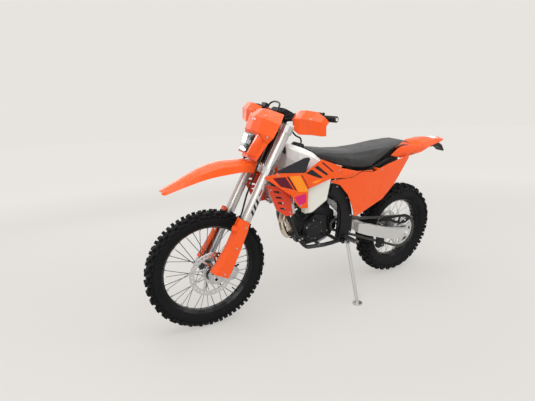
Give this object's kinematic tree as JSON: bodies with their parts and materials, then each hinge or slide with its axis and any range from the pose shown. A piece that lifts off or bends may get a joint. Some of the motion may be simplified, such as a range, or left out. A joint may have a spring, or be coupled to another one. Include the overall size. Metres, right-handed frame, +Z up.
{
  "type": "enduro dirt bike",
  "caption": "Off-road motorcycle with knobby tyres on wire wheels, long fork, high fender, handguards, flat seat and silencer, leaning on its side stand.",
  "frame": {"origin": "on the floor, at the middle of the length and width over all", "axes": "+X the way it travels, +Y its left side, +Z up"},
  "size_m": [2.2433, 0.8731, 1.2826],
  "materials": {
    "orange_plastic": "semi-gloss moulded plastic",
    "red_plastic": "semi-gloss moulded plastic",
    "dark_plastic": "matte",
    "black_plastic": "matte",
    "frame_paint": "satin black",
    "bar_paint": "satin black",
    "engine_metal": "cast",
    "cover_paint": "satin",
    "exhaust_steel": "brushed, a little heat tint",
    "silver_metal": "satin",
    "disc_steel": "ground",
    "chain_steel": "oiled",
    "spring_paint": "gloss",
    "rim_paint": "anodised black",
    "tyre": "matte",
    "grip_rubber": "matte",
    "hose_rubber": "matte",
    "lamp_plastic": "clear lens",
    "seat_cover": "grained cover",
    "tank_plastic": "translucent white"
  },
  "bodies": {
    "frame": {"air_scoops": "dark_plastic", "airbox": "black_plastic", "chain": "chain_steel", "chain_guides": "black_plastic", "engine": "engine_metal", "engine_covers": "cover_paint", "foot_controls": "disc_steel", "frame_guards": "black_plastic", "fuel_tank": "tank_plastic", "header_pipe": "exhaust_steel", "main_frame": "frame_paint", "radiator_guards": "red_plastic", "radiators": "silver_metal", "rear_axle": "disc_steel", "rear_caliper": "silver_metal", "rear_fender": "orange_plastic", "seat": "seat_cover", "shock": "spring_paint", "shroud_left": "orange_plastic", "shroud_right": "orange_plastic", "side_panel_left": "orange_plastic", "side_panel_right": "orange_plastic", "silencer": "silver_metal", "swingarm": "silver_metal", "tail_unit": "black_plastic", "tank_cap": "black_plastic"},
    "steering": {"triple_clamps": "silver_metal", "fork_tubes": "silver_metal", "fork_legs": "silver_metal", "fork_guards": "orange_plastic", "front_axle": "disc_steel", "handlebar": "bar_paint", "bar_pad": "black_plastic", "grips": "grip_rubber", "hand_controls": "cover_paint", "handguards": "orange_plastic", "headlight_mask": "orange_plastic", "headlamp": "lamp_plastic", "front_fender": "orange_plastic", "front_caliper": "silver_metal", "brake_hose": "hose_rubber"},
    "front_wheel": {"front_tyre": "tyre", "front_rim": "rim_paint", "front_hub": "silver_metal", "front_disc": "disc_steel"},
    "rear_wheel": {"rear_tyre": "tyre", "rear_rim": "rim_paint", "rear_hub": "silver_metal", "rear_disc": "disc_steel", "rear_sprocket": "disc_steel"},
    "stand": {"side_stand": "silver_metal"}
  },
  "joints": [
    {"name": "steering", "type": "hinge", "parent": "frame", "child": "steering", "pos_m": [0.42448, -0.03164, 0.92428], "axis": [-0.4392, 0.1247, 0.8897], "range_deg": [-39.43, 44.57]},
    {"name": "front_wheel_spin", "type": "hinge", "parent": "steering", "child": "front_wheel", "pos_m": [0.76987, -0.11449, 0.35108], "axis": [0.0402, 0.9921, -0.1192], "continuous": true},
    {"name": "rear_wheel_spin", "type": "hinge", "parent": "frame", "child": "rear_wheel", "pos_m": [-0.71707, -0.11339, 0.3421], "axis": [-0.0001, 0.9903, -0.1388], "continuous": true},
    {"name": "side_stand", "type": "hinge", "parent": "frame", "child": "stand", "pos_m": [-0.13709, 0.03288, 0.37659], "axis": [-0.1583, 0.9865, 0.0413], "range_deg": [0, 92]}
  ]
}
